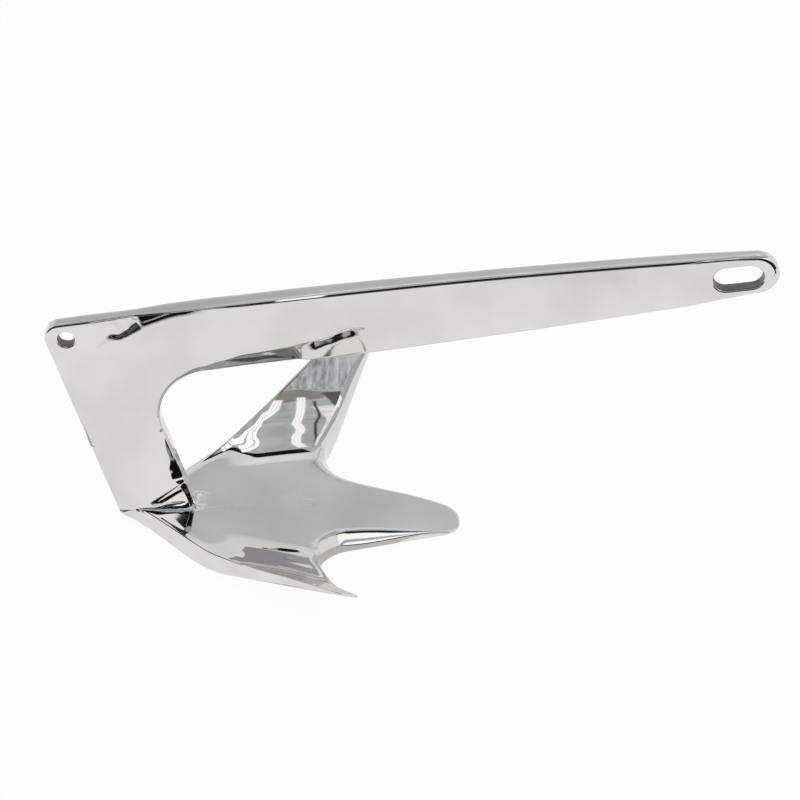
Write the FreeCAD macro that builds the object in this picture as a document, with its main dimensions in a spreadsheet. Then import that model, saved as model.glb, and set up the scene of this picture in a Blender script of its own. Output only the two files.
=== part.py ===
"""Claw anchor cast in one piece: a flat curved beam for arm and shank, a thin corner web and a palm with three claws.

X runs from the elbow towards the shackle eye, Y across the claws and Z up, with the underside on Z = 0.
Sizes along X are measured from the crown, where the arm's back edge comes down to the underside. The
finished casting is moved so that the middle of its length stands over the origin.
"""
import FreeCAD
import Part
import math
import os

import Sketcher
from FreeCAD import Vector

SIZES = {
    # side view of the beam, with its corners still sharp
    "crown_reach": 3.4,
    "elbow_back": 53.5,
    "elbow_rise": 184.4,
    "top_arch": 6800.0,
    "eye_reach": 508.0,
    "eye_rise": 238.4,
    "eye_radius": 16.8,
    "lower_arch": 9100.0,
    "throat_reach": 24.0,
    "throat_rise": 139.7,
    "arm_foot": 66.2,
    "elbow_bend": 98.0,
    "throat_bend": 41.5,
    # plan view of the beam, as half its thickness
    "arm_half": 6.8,
    "shoulder_reach": 147.0,
    "shoulder_half": 8.0,
    "waist_reach": 300.0,
    "waist_half": 6.9,
    "neck_back": 68.0,
    "neck_half": 6.6,
    "eye_half": 5.6,
    "edge_round": 2.5,
    # corner web, trip hole and shackle slot
    "web_half": 5.0,
    "web_corner": 12.5,
    "trip_bore": 13.0,
    "trip_forward": 20.4,
    "trip_drop": 11.5,
    "slot_length": 38.0,
    "slot_width": 20.0,
    "slot_back": 30.6,
    "slot_drop": 3.3,
    "slot_slope": 8.0,
    "rim_round": 1.2,
    # palm and claws in plan, with their corners still sharp
    "palm_start": 7.0,
    "heel_back": 12.0,
    "heel_half": 5.5,
    "heel_start": 14.6,
    "heel_sweep": 36.0,
    "horn_reach": 219.2,
    "horn_half": 229.5,
    "horn_round": 13.0,
    "notch_reach": 149.7,
    "notch_half": 51.2,
    "notch_round": 32.0,
    "nose_reach": 270.3,
    "nose_half": 15.0,
    "nose_round": 17.0,
    # height of the palm's upper side and underside
    "crest_rise": 19.2,
    "crest_reach": 107.0,
    "crest_radius": 745.0,
    "splay": 13.0,
    "fold_reach": 130.0,
    "fold_start": 64.3,
    "fold_radius": 73.5,
    "claw_slope": 34.5,
    "under_start": 66.0,
    "under_lead": 4.0,
    "under_radius": 50.0,
    "under_slope": 38.0,
    "heel_reach": 30.0,
    "heel_end": 6.0,
    "heel_lift": 16.5,
    "heel_radius": 52.0,
    # bevel along the front of the side claws, round the notches and along the centre claw
    "bevel_width": 7.3,
    "bevel_edge": 0.9,
    "claw_drop": 4.9,
    "nose_drop": 9.2,
    "horn_fade": 55.0,
    "horn_full": 100.0,
    "nose_full": 40.0,
    "nose_fade": 110.0,
    "bevel_excess": 3.0,
    # blend of the arm into the palm
    "root_round": 8.0,
}

doc = FreeCAD.newDocument("claw_anchor")
sheet = doc.addObject("Spreadsheet::Sheet", "sizes")
for row, (alias, number) in enumerate(SIZES.items(), start=1):
    sheet.set(f"A{row}", alias)
    sheet.set(f"B{row}", str(number))
    sheet.setAlias(f"B{row}", alias)
doc.recompute()


def size(alias):
    return float(sheet.get(alias))


def coordinate(terms):
    """Value and expression of a coordinate written as aliases, each with an optional minus sign."""
    value = 0.0
    expression = ""
    for term in terms.split():
        alias = term.lstrip("-")
        sign = -1 if term.startswith("-") else 1
        value += sign * size(alias)
        expression += ("-" if sign < 0 else "+") + "sizes." + alias
    return value, expression.lstrip("+")


def point(x_terms, y_terms):
    return Vector(coordinate(x_terms)[0], coordinate(y_terms)[0], 0)


def new_body(label):
    body = doc.addObject("PartDesign::Body", label)
    body.Label = label
    return body


def new_sketch(body, role, label):
    sketch = body.newObject("Sketcher::SketchObject", label)
    plane = next(feature for feature in body.Origin.OriginFeatures if feature.Role == role)
    sketch.AttachmentSupport = [(plane, "")]
    sketch.MapMode = "FlatFace"
    return sketch


def bind(sketch, constraint, expression):
    index = sketch.addConstraint(constraint)
    sketch.setExpression(f"Constraints[{index}]", expression)


def pin(sketch, geometry, vertex, x_terms, y_terms):
    """Hold a sketch point at its named distances from the sketch's origin."""
    for kind, axis, terms in (("DistanceX", -2, x_terms), ("DistanceY", -1, y_terms)):
        value, expression = coordinate(terms)
        if terms:
            bind(sketch, Sketcher.Constraint(kind, -1, 1, geometry, vertex, value), expression)
        else:
            sketch.addConstraint(Sketcher.Constraint("PointOnObject", geometry, vertex, axis))


def add_line(sketch, start, end):
    return sketch.addGeometry(Part.LineSegment(start, end)), 1, 2


def add_arc(sketch, start, middle, end, radius_alias):
    """Arc through three points with a named radius: its index, and its vertices at start and end."""
    curve = Part.Arc(start, middle, end).toShape().Curve
    first, last = (math.atan2(p.y - curve.Center.y, p.x - curve.Center.x) for p in (start, end))
    circle = Part.Circle(curve.Center, Vector(0, 0, 1), curve.Radius)
    if (middle - start).cross(end - middle).z > 0:
        index = sketch.addGeometry(Part.ArcOfCircle(circle, first, last))
        vertices = 1, 2
    else:
        index = sketch.addGeometry(Part.ArcOfCircle(circle, last, first))
        vertices = 2, 1
    bind(sketch, Sketcher.Constraint("Radius", index, size(radius_alias)), "sizes." + radius_alias)
    return index, *vertices


def bulge(start, end, radius_alias):
    """Middle of the flat arc that bows to the left of the way from start to end."""
    chord = end - start
    radius = size(radius_alias)
    rise = radius - math.sqrt(radius**2 - (chord.Length / 2) ** 2)
    return (start + end) / 2 + Vector(-chord.y, chord.x, 0).normalize() * rise


def close_loop(sketch, pieces, tangent_after=()):
    """Join each piece's end to the next one's start, tangent where asked."""
    for place, (index, _, end) in enumerate(pieces):
        following, start, _ = pieces[(place + 1) % len(pieces)]
        kind = "Tangent" if place in tangent_after else "Coincident"
        sketch.addConstraint(Sketcher.Constraint(kind, index, end, following, start))


def pad(body, sketch, length_expression, label):
    feature = body.newObject("PartDesign::Pad", label)
    feature.Profile = sketch
    feature.Midplane = True
    feature.setExpression("Length", length_expression)
    doc.recompute()
    return feature


def upright_edges(shape, direction, places):
    """Names of the straight edges along a direction that pass through one of the given places."""
    names = []
    for number, edge in enumerate(shape.Edges, start=1):
        if edge.Curve.TypeId != "Part::GeomLine":
            continue
        if edge.tangentAt(edge.FirstParameter).cross(direction).Length > 1e-6:
            continue
        for place in places:
            if (edge.valueAt(edge.FirstParameter) - place).cross(direction).Length < 0.01:
                names.append(f"Edge{number}")
    return names


def round_corners(body, direction, places, radius_alias, label):
    corners = upright_edges(body.Shape, direction, places)
    previous = body.Tip
    feature = body.newObject("PartDesign::Fillet", label)
    feature.Base = (previous, corners)
    feature.setExpression("Radius", "sizes." + radius_alias)
    doc.recompute()


ACROSS = Vector(0, 1, 0)
UP = Vector(0, 0, 1)

# the beam: side view, then its thickness in plan, then its rounded edges
crown = ("crown_reach", "")
elbow = ("-elbow_back", "elbow_rise")
throat = ("throat_reach", "throat_rise")
foot = ("arm_foot", "")
eye = ("eye_reach -eye_radius", "eye_rise")


def add_side_view(sketch):
    """Outline of arm and shank with a round eye end and sharp corners at elbow and throat."""
    slope = math.radians(size("slot_slope"))
    lift = Vector(-math.sin(slope), math.cos(slope), 0) * size("eye_radius")
    eye_top = point(*eye) + lift
    eye_bottom = point(*eye) - lift
    eye_tip = point(*eye) + Vector(size("eye_radius"), 0, 0)
    back = add_line(sketch, point(*crown), point(*elbow))
    top = add_arc(sketch, point(*elbow), bulge(point(*elbow), eye_top, "top_arch"), eye_top, "top_arch")
    end = add_arc(sketch, eye_top, eye_tip, eye_bottom, "eye_radius")
    lower_middle = bulge(point(*throat), eye_bottom, "lower_arch")
    lower = add_arc(sketch, eye_bottom, lower_middle, point(*throat), "lower_arch")
    arm = add_line(sketch, point(*throat), point(*foot))
    sole = add_line(sketch, point(*foot), point(*crown))
    close_loop(sketch, [back, top, end, lower, arm, sole], tangent_after=(1, 2))
    for piece, corner in ((back, crown), (arm, throat), (sole, foot)):
        pin(sketch, piece[0], 1, *corner)
    pin(sketch, back[0], 2, *elbow)
    pin(sketch, end[0], 3, *eye)


def side_plate(label, half_alias, elbow_alias):
    """Flat plate with the beam's side view, its elbow rounded to the given radius."""
    body = new_body(label)
    side_view = new_sketch(body, "XZ_Plane", label + "_side_view")
    add_side_view(side_view)
    doc.recompute()
    pad(body, side_view, f"2 * sizes.{half_alias}", label + "_pad")
    for place, radius_alias in ((elbow, elbow_alias), (throat, "throat_bend")):
        corner = Vector(coordinate(place[0])[0], 0, coordinate(place[1])[0])
        round_corners(body, ACROSS, [corner], radius_alias, f"{label}_{radius_alias}")
    return body


beam_plate = side_plate("beam_plate", "shoulder_half", "elbow_bend")

half_widths = (
    Vector(-size("elbow_back") - size("edge_round"), size("arm_half"), 0),
    Vector(0, size("arm_half"), 0),
    Vector(size("shoulder_reach"), size("shoulder_half"), 0),
    Vector(size("waist_reach"), size("waist_half"), 0),
    Vector(size("eye_reach") - size("neck_back"), size("neck_half"), 0),
    Vector(size("eye_reach") - 2 * size("eye_radius"), size("eye_half"), 0),
    Vector(size("eye_reach") + size("edge_round"), size("eye_half"), 0),
)
plan_curve = Part.BSplineCurve()
plan_curve.interpolate(half_widths)
far_side = plan_curve.toShape()
near_side = far_side.mirror(Vector(0, 0, 0), ACROSS)
ends = [
    Part.LineSegment(far_side.Vertexes[place].Point, near_side.Vertexes[place].Point).toShape()
    for place in (0, -1)
]
plan_outline = doc.addObject("Part::Feature", "plan_outline")
plan_outline.Shape = Part.Face(Part.Wire(Part.sortEdges([far_side, near_side, *ends])[0]))
plan_form = doc.addObject("Part::Extrusion", "plan_form")
plan_form.Base = plan_outline
plan_form.DirMode = "Custom"
plan_form.Dir = UP
plan_form.setExpression("LengthFwd", "sizes.eye_rise + 2 * sizes.eye_radius")
plan_form.Solid = True
beam_blank = doc.addObject("Part::Common", "beam_blank")
beam_blank.Base = beam_plate
beam_blank.Tool = plan_form
doc.recompute()


def round_edges(base, chosen, radius_alias, label):
    """Fillet of the chosen edge numbers; the radius follows its cell when the script is run."""
    feature = doc.addObject("Part::Fillet", label)
    feature.Base = base
    feature.Edges = [(number, size(radius_alias), size(radius_alias)) for number in chosen]
    doc.recompute()
    return feature


def edges_where(shape, wanted):
    """Numbers of the edges whose middle point is wanted."""
    numbers = []
    for number, edge in enumerate(shape.Edges, start=1):
        if wanted(edge.valueAt((edge.FirstParameter + edge.LastParameter) / 2)):
            numbers.append(number)
    return numbers


def on_rim(middle):
    return middle.z > 0.01 and abs(middle.y) > 0.5 * size("web_half")


beam = round_edges(beam_blank, edges_where(beam_blank.Shape, on_rim), "edge_round", "beam")
web_plate = side_plate("web_plate", "web_half", "web_corner")
web = round_edges(web_plate, edges_where(web_plate.Shape, on_rim), "edge_round", "web")
shank = doc.addObject("Part::Fuse", "shank")
shank.Base = beam
shank.Tool = web


# palm and claws: a plan outline cut from above and below by curved surfaces
palm_blank = new_body("palm_blank")
palm_plan = new_sketch(palm_blank, "XY_Plane", "palm_plan")
plan_corners = (
    ("-heel_back", "heel_half"),
    ("heel_start", "heel_half"),
    ("horn_reach", "horn_half"),
    ("notch_reach", "notch_half"),
    ("nose_reach", "nose_half"),
)
mirrored = tuple((x, "-" + y) for x, y in reversed(plan_corners))
outline = plan_corners + mirrored
lines = []
for start, end in zip(outline, outline[1:] + outline[:1]):
    lines.append(add_line(palm_plan, point(*start), point(*end)))
close_loop(palm_plan, lines)
for line, corner in zip(lines, outline):
    pin(palm_plan, line[0], 1, *corner)
doc.recompute()
palm_pad = palm_blank.newObject("PartDesign::Pad", "palm_pad")
palm_pad.Profile = palm_plan
palm_pad.setExpression("Length", "6 * sizes.crest_rise")
doc.recompute()
for corner, radius_alias in zip(plan_corners[1:], ("heel_sweep", "horn_round", "notch_round", "nose_round")):
    far_corner = point(*corner)
    places = [far_corner, Vector(far_corner.x, -far_corner.y, 0)]
    round_corners(palm_blank, UP, places, radius_alias, "palm_" + radius_alias)


def fold(distance, start, radius, lead, slope):
    """Height of a sheet that leaves the plane at a lead angle, bends up along an arc and goes on straight."""
    lead = math.radians(lead)
    slope = math.radians(slope)
    if distance < start:
        return (distance - start) * math.tan(lead)
    end = start + radius * (math.sin(slope) - math.sin(lead))
    if distance < end:
        turn = math.asin(math.sin(lead) + (distance - start) / radius)
        return radius * (math.cos(lead) - math.cos(turn))
    return radius * (math.cos(lead) - math.cos(slope)) + (distance - end) * math.tan(slope)


def off_fold(x, y):
    """Distance from the middle plane, measured square to the splayed fold line of a side claw."""
    splay = math.radians(size("splay"))
    return abs(y) * math.cos(splay) - (x - size("fold_reach")) * math.sin(splay)


def crest_height(x, y):
    fall = size("crest_radius") - math.sqrt(size("crest_radius") ** 2 - (x - size("crest_reach")) ** 2)
    rise = fold(off_fold(x, y), size("fold_start"), size("fold_radius"), 0, size("claw_slope"))
    return size("crest_rise") - fall + rise


def under_height(x, y):
    return fold(
        off_fold(x, y), size("under_start"), size("under_radius"), size("under_lead"), size("under_slope")
    )


def height_block(label, law, start, length_expression):
    """Block that hangs down from a surface whose height follows a law of x and y."""
    reach = size("nose_reach") + size("nose_round") - start
    half = size("horn_half")
    rows = []
    for i in range(17):
        x = start + reach * i / 16
        rows.append([Vector(x, half * j / 16, law(x, half * j / 16)) for j in range(-16, 17)])
    surface = Part.BSplineSurface()
    surface.interpolate(rows)
    face = doc.addObject("Part::Feature", label + "_face")
    face.Shape = surface.toShape()
    block = doc.addObject("Part::Extrusion", label)
    block.Base = face
    block.DirMode = "Custom"
    block.Dir = -UP
    block.setExpression("LengthFwd", length_expression)
    block.Solid = True
    return block


crest = height_block("crest", crest_height, size("palm_start"), "8 * sizes.crest_rise")
under = height_block("under", under_height, size("palm_start"), "8 * sizes.crest_rise")
palm_top = doc.addObject("Part::Common", "palm_top")
palm_top.Base = palm_blank
palm_top.Tool = crest
palm_plate = doc.addObject("Part::Cut", "palm_plate")
palm_plate.Base = palm_top
palm_plate.Tool = under


def ease(value, start, end):
    """0 before start, 1 past end and a soft step between them."""
    share = min(max((value - start) / (end - start), 0), 1)
    return share * share * (3 - 2 * share)


def front_stations():
    """Places along one side's front outline: point, outward normal, bevel width and bevel depth."""
    horn = point("horn_reach", "horn_half")
    notch = point("notch_reach", "notch_half")
    nose = point("nose_reach", "nose_half")
    along_claw = (notch - horn).normalize()
    along_nose = (nose - notch).normalize()
    off_claw = Vector(-along_claw.y, along_claw.x, 0)
    turn = along_claw.getAngle(along_nose)
    tangent = size("notch_round") * math.tan(turn / 2)
    claw_length = (notch - horn).Length
    nose_length = (nose - notch).Length
    centre = notch - along_claw * tangent + off_claw * size("notch_round")
    width_gain = size("bevel_width") - size("bevel_edge")
    claw_gain = size("claw_drop") - size("bevel_edge")
    nose_gain = size("nose_drop") - size("bevel_edge")
    stations = []
    for step in range(10):
        run = -size("horn_round") + (claw_length - tangent + size("horn_round")) * step / 10
        share = ease(run, size("horn_fade"), size("horn_full"))
        depth = size("bevel_edge") + claw_gain * share
        width = size("bevel_edge") + width_gain * share
        stations.append((horn + along_claw * run, off_claw, width, depth))
    for step in range(9):
        spin = FreeCAD.Rotation(UP, math.degrees(turn) * step / 8)
        outward = spin.multVec(off_claw)
        depth = size("claw_drop") + (size("nose_drop") - size("claw_drop")) * step / 8
        stations.append((centre - outward * size("notch_round"), outward, size("bevel_width"), depth))
    off_nose = Vector(-along_nose.y, along_nose.x, 0)
    for step in range(1, 11):
        run = tangent + (nose_length + size("nose_round") / 2 - tangent) * step / 10
        share = 1 - ease(run, size("nose_full"), size("nose_fade"))
        depth = size("bevel_edge") + nose_gain * share
        width = size("bevel_edge") + width_gain * share
        stations.append((notch + along_nose * run, off_nose, width, depth))
    return stations


raised = []
lowered = []
for place, outward, width, depth in front_stations():
    bevel_top = place - outward * width
    top_height = crest_height(bevel_top.x, bevel_top.y)
    steepness = (top_height - crest_height(place.x, place.y) + depth) / width
    inner = bevel_top - outward * size("bevel_excess")
    outer = place + outward * size("bevel_excess")
    raised.append(Vector(inner.x, inner.y, top_height + steepness * size("bevel_excess")))
    lowered.append(Vector(outer.x, outer.y, top_height - steepness * (width + size("bevel_excess"))))
bevel_rows = []
for label, places in (("bevel_high", raised), ("bevel_low", lowered)):
    curve = Part.BSplineCurve()
    curve.interpolate(places)
    row_feature = doc.addObject("Part::Feature", label)
    row_feature.Shape = curve.toShape()
    bevel_rows.append(row_feature)
bevel_sheet = doc.addObject("Part::RuledSurface", "bevel_sheet")
bevel_sheet.Curve1 = (bevel_rows[0], ["Edge1"])
bevel_sheet.Curve2 = (bevel_rows[1], ["Edge1"])
bevel_far = doc.addObject("Part::Extrusion", "bevel_far")
bevel_far.Base = bevel_sheet
bevel_far.DirMode = "Custom"
bevel_far.Dir = UP
bevel_far.setExpression("LengthFwd", "2 * sizes.crest_rise")
bevel_far.Solid = True
bevel_near = doc.addObject("Part::Mirroring", "bevel_near")
bevel_near.Source = bevel_far
bevel_near.Base = Vector(0, 0, 0)
bevel_near.Normal = ACROSS
far_bevelled = doc.addObject("Part::Cut", "far_bevelled")
far_bevelled.Base = palm_plate
far_bevelled.Tool = bevel_far
palm = doc.addObject("Part::Cut", "palm")
palm.Base = far_bevelled
palm.Tool = bevel_near
doc.recompute()


# arm and palm joined, blended along the root and cut to the heel's curve
joined = doc.addObject("Part::Fuse", "joined")
joined.Base = shank
joined.Tool = palm
doc.recompute()


def on_root(middle):
    """True on the line where the arm's sides and front stand on the palm."""
    gap = crest_height(middle.x, middle.y) - middle.z
    return abs(gap) < 0.3 and abs(middle.y) < 1.5 * size("arm_half") and middle.x < size("arm_foot")


rooted = round_edges(joined, edges_where(joined.Shape, on_root), "root_round", "rooted")
heel_block = new_body("heel_block")
heel_view = new_sketch(heel_block, "XZ_Plane", "heel_view")
heel_front = ("heel_reach", "")
heel_back = ("-heel_end", "heel_lift")
heel_low = ("heel_reach", "-heel_lift")
heel_corner = ("-heel_end", "-heel_lift")
heel_middle = bulge(point(*heel_front), point(*heel_back), "heel_radius")
heel_arc = add_arc(heel_view, point(*heel_front), heel_middle, point(*heel_back), "heel_radius")
heel_lines = [
    add_line(heel_view, point(*heel_back), point(*heel_corner)),
    add_line(heel_view, point(*heel_corner), point(*heel_low)),
    add_line(heel_view, point(*heel_low), point(*heel_front)),
]
close_loop(heel_view, [heel_arc, *heel_lines])
pin(heel_view, heel_lines[0][0], 1, *heel_back)
pin(heel_view, heel_lines[1][0], 1, *heel_corner)
pin(heel_view, heel_lines[2][0], 1, *heel_low)
pin(heel_view, heel_lines[2][0], 2, *heel_front)
doc.recompute()
pad(heel_block, heel_view, "2 * sizes.notch_half", "heel_pad")
heeled = doc.addObject("Part::Cut", "heeled")
heeled.Base = rooted
heeled.Tool = heel_block


# shackle slot near the eye and trip hole in the corner web
def end_arc(sketch, side, start_angle):
    """Half circle at one end of the slot, held on the sketch's level axis."""
    offset = (size("slot_length") - size("slot_width")) / 2
    circle = Part.Circle(Vector(side * offset, 0, 0), UP, size("slot_width") / 2)
    index = sketch.addGeometry(Part.ArcOfCircle(circle, start_angle, start_angle + math.pi))
    bind(sketch, Sketcher.Constraint("Radius", index, size("slot_width") / 2), "sizes.slot_width / 2")
    sketch.addConstraint(Sketcher.Constraint("PointOnObject", index, 3, -1))
    expression = f"{side} * (sizes.slot_length - sizes.slot_width) / 2"
    bind(sketch, Sketcher.Constraint("DistanceX", -1, 1, index, 3, side * offset), expression)
    return index, 1, 2


slot_core = new_body("slot_core")
slot_view = new_sketch(slot_core, "XZ_Plane", "slot_view")
front_end = end_arc(slot_view, 1, -math.pi / 2)
back_end = end_arc(slot_view, -1, math.pi / 2)
half_straight = (size("slot_length") - size("slot_width")) / 2
half_width = size("slot_width") / 2
top_line = add_line(slot_view, Vector(half_straight, half_width, 0), Vector(-half_straight, half_width, 0))
low_line = add_line(slot_view, Vector(-half_straight, -half_width, 0), Vector(half_straight, -half_width, 0))
close_loop(slot_view, [front_end, top_line, back_end, low_line], tangent_after=(0, 1, 2, 3))
doc.recompute()
pad(slot_core, slot_view, "4 * sizes.shoulder_half", "slot_pad")
slot_core.setExpression("Placement.Base.x", "sizes.eye_reach - sizes.slot_back")
slot_core.setExpression("Placement.Base.z", "sizes.eye_rise - sizes.slot_drop")
slot_core.Placement.Rotation = FreeCAD.Rotation(-ACROSS, size("slot_slope"))
trip_drill = doc.addObject("Part::Cylinder", "trip_drill")
trip_drill.setExpression("Radius", "sizes.trip_bore / 2")
trip_drill.setExpression("Height", "4 * sizes.shoulder_half")
trip_drill.Placement.Rotation = FreeCAD.Rotation(Vector(1, 0, 0), 90)
trip_drill.setExpression("Placement.Base.x", "sizes.trip_forward - sizes.elbow_back")
trip_drill.setExpression("Placement.Base.y", "2 * sizes.shoulder_half")
trip_drill.setExpression("Placement.Base.z", "sizes.elbow_rise - sizes.trip_drop")
cores = doc.addObject("Part::MultiFuse", "cores")
cores.Shapes = [slot_core, trip_drill]
cored = doc.addObject("Part::Cut", "cored")
cored.Base = heeled
cored.Tool = cores
doc.recompute()


def on_mouth(middle):
    """True on the edges where the slot and the trip hole break out of the side faces."""
    gap = cores.Shape.distToShape(Part.Vertex(middle))[0]
    return gap < 0.01 and abs(middle.y) > 0.5 * size("web_half")


def on_trip_mouth(middle):
    """True on the round edges of the trip hole, which lies behind the crown."""
    return on_mouth(middle) and middle.x < 0


def on_slot_mouth(middle):
    return on_mouth(middle) and middle.x > 0


rimmed = doc.addObject("Part::Chamfer", "rimmed")
rimmed.Base = cored
rimmed.Edges = [
    (number, size("rim_round"), size("rim_round")) for number in edges_where(cored.Shape, on_trip_mouth)
]
doc.recompute()
casting = round_edges(rimmed, edges_where(rimmed.Shape, on_slot_mouth), "rim_round", "casting")


# the casting stands with the middle of its length over the origin
extent = casting.Shape.optimalBoundingBox(False)
casting.Placement.Base = Vector(-(extent.XMin + extent.XMax) / 2, 0, 0)
casting.Label = "claw_anchor"
doc.recompute()
for item in doc.Objects:
    if "Invalid" in item.State or "Error" in item.State:
        raise RuntimeError(f"{item.Label} did not rebuild")
if casting.Shape.isNull() or not casting.Shape.isValid() or len(casting.Shape.Solids) != 1:
    raise RuntimeError("the casting is not one sound solid")
os.makedirs("parts", exist_ok=True)
casting.Shape.exportStep("parts/claw_anchor.step")
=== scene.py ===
# Mirror-polished claw anchor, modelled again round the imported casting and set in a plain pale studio.
import math

import bmesh
import bpy
from mathutils import Matrix, Vector


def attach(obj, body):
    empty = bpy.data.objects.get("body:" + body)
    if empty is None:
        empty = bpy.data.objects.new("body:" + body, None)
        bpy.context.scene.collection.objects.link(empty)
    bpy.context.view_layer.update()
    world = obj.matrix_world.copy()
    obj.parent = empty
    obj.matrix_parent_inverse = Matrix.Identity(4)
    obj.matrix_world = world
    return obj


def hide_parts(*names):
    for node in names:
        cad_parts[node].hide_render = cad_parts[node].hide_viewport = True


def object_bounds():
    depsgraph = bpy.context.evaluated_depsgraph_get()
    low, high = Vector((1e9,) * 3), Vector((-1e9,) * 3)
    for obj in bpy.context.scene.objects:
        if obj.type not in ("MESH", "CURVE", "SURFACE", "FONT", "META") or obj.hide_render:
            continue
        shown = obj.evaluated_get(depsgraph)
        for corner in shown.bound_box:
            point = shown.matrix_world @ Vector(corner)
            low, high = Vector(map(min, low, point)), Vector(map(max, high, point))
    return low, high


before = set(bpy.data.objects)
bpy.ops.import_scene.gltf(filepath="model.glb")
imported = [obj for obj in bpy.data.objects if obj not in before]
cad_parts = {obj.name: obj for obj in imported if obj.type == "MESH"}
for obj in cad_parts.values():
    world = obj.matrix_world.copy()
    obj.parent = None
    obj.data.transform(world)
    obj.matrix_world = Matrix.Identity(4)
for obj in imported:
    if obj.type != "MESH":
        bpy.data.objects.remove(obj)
cadLow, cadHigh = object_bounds()
mm = 0.001

# side view and thickness of the arm and the shank, in mm from the crown, with the corners still sharp
beam = {
    "crown": (3.4, 0.0),
    "elbow": (-53.5, 184.4),
    "elbowRound": 12.5,
    "eyeCentre": (490.9, 238.1),
    "eyeRadius": 17.1,
    "eyeSlope": 8.0,
    "foot": (66.2, 0.0),
    "throat": (24.0, 137.2),
    "throatBend": 41.5,
    "topBow": 5.4,
    "lowerBow": 3.4,
    # reach from the crown and half the thickness there
    "halfWidths": (
        (-56.0, 6.8), (0.0, 7.0), (60.0, 7.7), (147.0, 8.0), (300.0, 6.9), (440.0, 6.6), (474.0, 5.6), (510.0, 5.6),
    ),
    # radius of the upper and the lower rim by reach
    "rims": ((-10.0, 2.1), (40.0, 1.5), (78.0, 1.6), (104.0, 2.6), (470.0, 2.6), (500.0, 3.6)),
    "lowRims": ((0.0, 1.2), (430.0, 1.2), (495.0, 3.6)),
    "armRim": 1.6,
    # rows of points along the arm, round the bend, along the shank and round the eye
    "rows": (56, 176, 104, 22),
}
crownReach = cadHigh.x / mm - beam["eyeCentre"][0] - beam["eyeRadius"]


def toMetres(x, y, z):
    return Vector(((x + crownReach) * mm, y * mm, z * mm))


def ease(value, start, end):
    share = min(max((value - start) / (end - start), 0.0), 1.0)
    return share * share * (3 - 2 * share)


def spread(start, end, count):
    return [start + (end - start) * step / count for step in range(count + 1)]


# curves through sharp corners, as straight, bowed and round pieces that are walked by length

def bowedLine(start, end, bow):
    along = end - start
    side = Vector((-along.y, along.x)).normalized()

    def place(share):
        point = start + along * share + side * (4 * bow * share * (1 - share))
        slope = along + side * (4 * bow * (1 - 2 * share))
        return point, Vector((-slope.y, slope.x)).normalized()

    return along.length, place


def roundArc(centre, start, turn):
    spoke = start - centre

    def place(share):
        arm = Matrix.Rotation(turn * share, 2) @ spoke
        return centre + arm, arm.normalized() * (-1 if turn > 0 else 1)

    return abs(turn) * spoke.length, place


def cornerCurve(corners, rounds, bows=None):
    corners = [Vector(corner) for corner in corners]
    bows = bows or [0.0] * (len(corners) - 1)
    pieces = []
    start = corners[0]
    for index, radius in enumerate(rounds):
        before, corner, after = corners[index:index + 3]
        comingIn = (corner - before).normalized()
        goingOut = (after - corner).normalized()
        turn = -comingIn.angle_signed(goingOut)
        reach = radius * math.tan(abs(turn) / 2)
        arcStart = corner - comingIn * reach
        side = Vector((-comingIn.y, comingIn.x)) * (1 if turn > 0 else -1)
        pieces.append(bowedLine(start, arcStart, bows[index]))
        pieces.append(roundArc(arcStart + side * radius, arcStart, turn))
        start = corner + goingOut * reach
    pieces.append(bowedLine(start, corners[-1], bows[-1]))
    return pieces


def breaks(pieces):
    marks = [0.0]
    for length, _ in pieces:
        marks.append(marks[-1] + length)
    return marks


def walk(pieces, distance):
    for length, place in pieces:
        if distance <= length or place is pieces[-1][1]:
            return place(min(max(distance / length, 0.0), 1.0))
        distance -= length


def between(marks, position):
    index = min(int(position), len(marks) - 2)
    return marks[index] + (marks[index + 1] - marks[index]) * (position - index)


def stations(counts):
    # positions along matched curves: whole numbers at the breaks, evenly divided between them
    places = [0.0]
    for index, count in enumerate(counts):
        places += [index + step / count for step in range(1, count + 1)]
    return places


# meshes: a grid laid over rows of points, mirrored across the middle plane and closed

def layGrid(rows):
    bm = bmesh.new()
    across = len(rows) - 1
    along = len(rows[0]) - 1
    bmesh.ops.create_grid(bm, x_segments=across, y_segments=along, size=1.0)
    for vert in bm.verts:
        column = round((vert.co.x + 1) / 2 * across)
        row = round((vert.co.y + 1) / 2 * along)
        vert.co = rows[column][row]
    return bm


# distances in metres at which vertices are merged, at the middle plane and when the casting is finished, and the
# angle in degrees past which an edge stays sharp
joins = {"middle": 2e-6, "finish": 1e-5, "sharp": 32}


def mirrorHalf(bm):
    bmesh.ops.mirror(bm, geom=bm.verts[:] + bm.edges[:] + bm.faces[:], merge_dist=0.0, axis="Y")
    bmesh.ops.remove_doubles(bm, verts=bm.verts, dist=joins["middle"])
    bmesh.ops.dissolve_degenerate(bm, edges=bm.edges, dist=joins["middle"])
    bmesh.ops.holes_fill(bm, edges=[edge for edge in bm.edges if edge.is_boundary], sides=0)
    bmesh.ops.recalc_face_normals(bm, faces=bm.faces)


def toObject(bm, name):
    mesh = bpy.data.meshes.new(name)
    bm.to_mesh(mesh)
    bm.free()
    piece = bpy.data.objects.new(name, mesh)
    bpy.context.scene.collection.objects.link(piece)
    return piece


def combine(piece, tool, operation):
    change = piece.modifiers.new(operation.lower(), "BOOLEAN")
    change.operation = operation
    change.solver = "MANIFOLD"
    change.object = tool
    evaluated = piece.evaluated_get(bpy.context.evaluated_depsgraph_get())
    mesh = bpy.data.meshes.new_from_object(evaluated)
    piece.modifiers.clear()
    piece.data = mesh
    bpy.data.objects.remove(tool)
    print("  ", operation.lower(), len(mesh.polygons), "faces")


def readMarks(marks, value):
    for (start, low), (end, high) in zip(marks, marks[1:]):
        if value <= end:
            return low + (high - low) * ease(value, start, end)
    return marks[-1][1]


def halfWidth(x):
    return readMarks(beam["halfWidths"], x)


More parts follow.
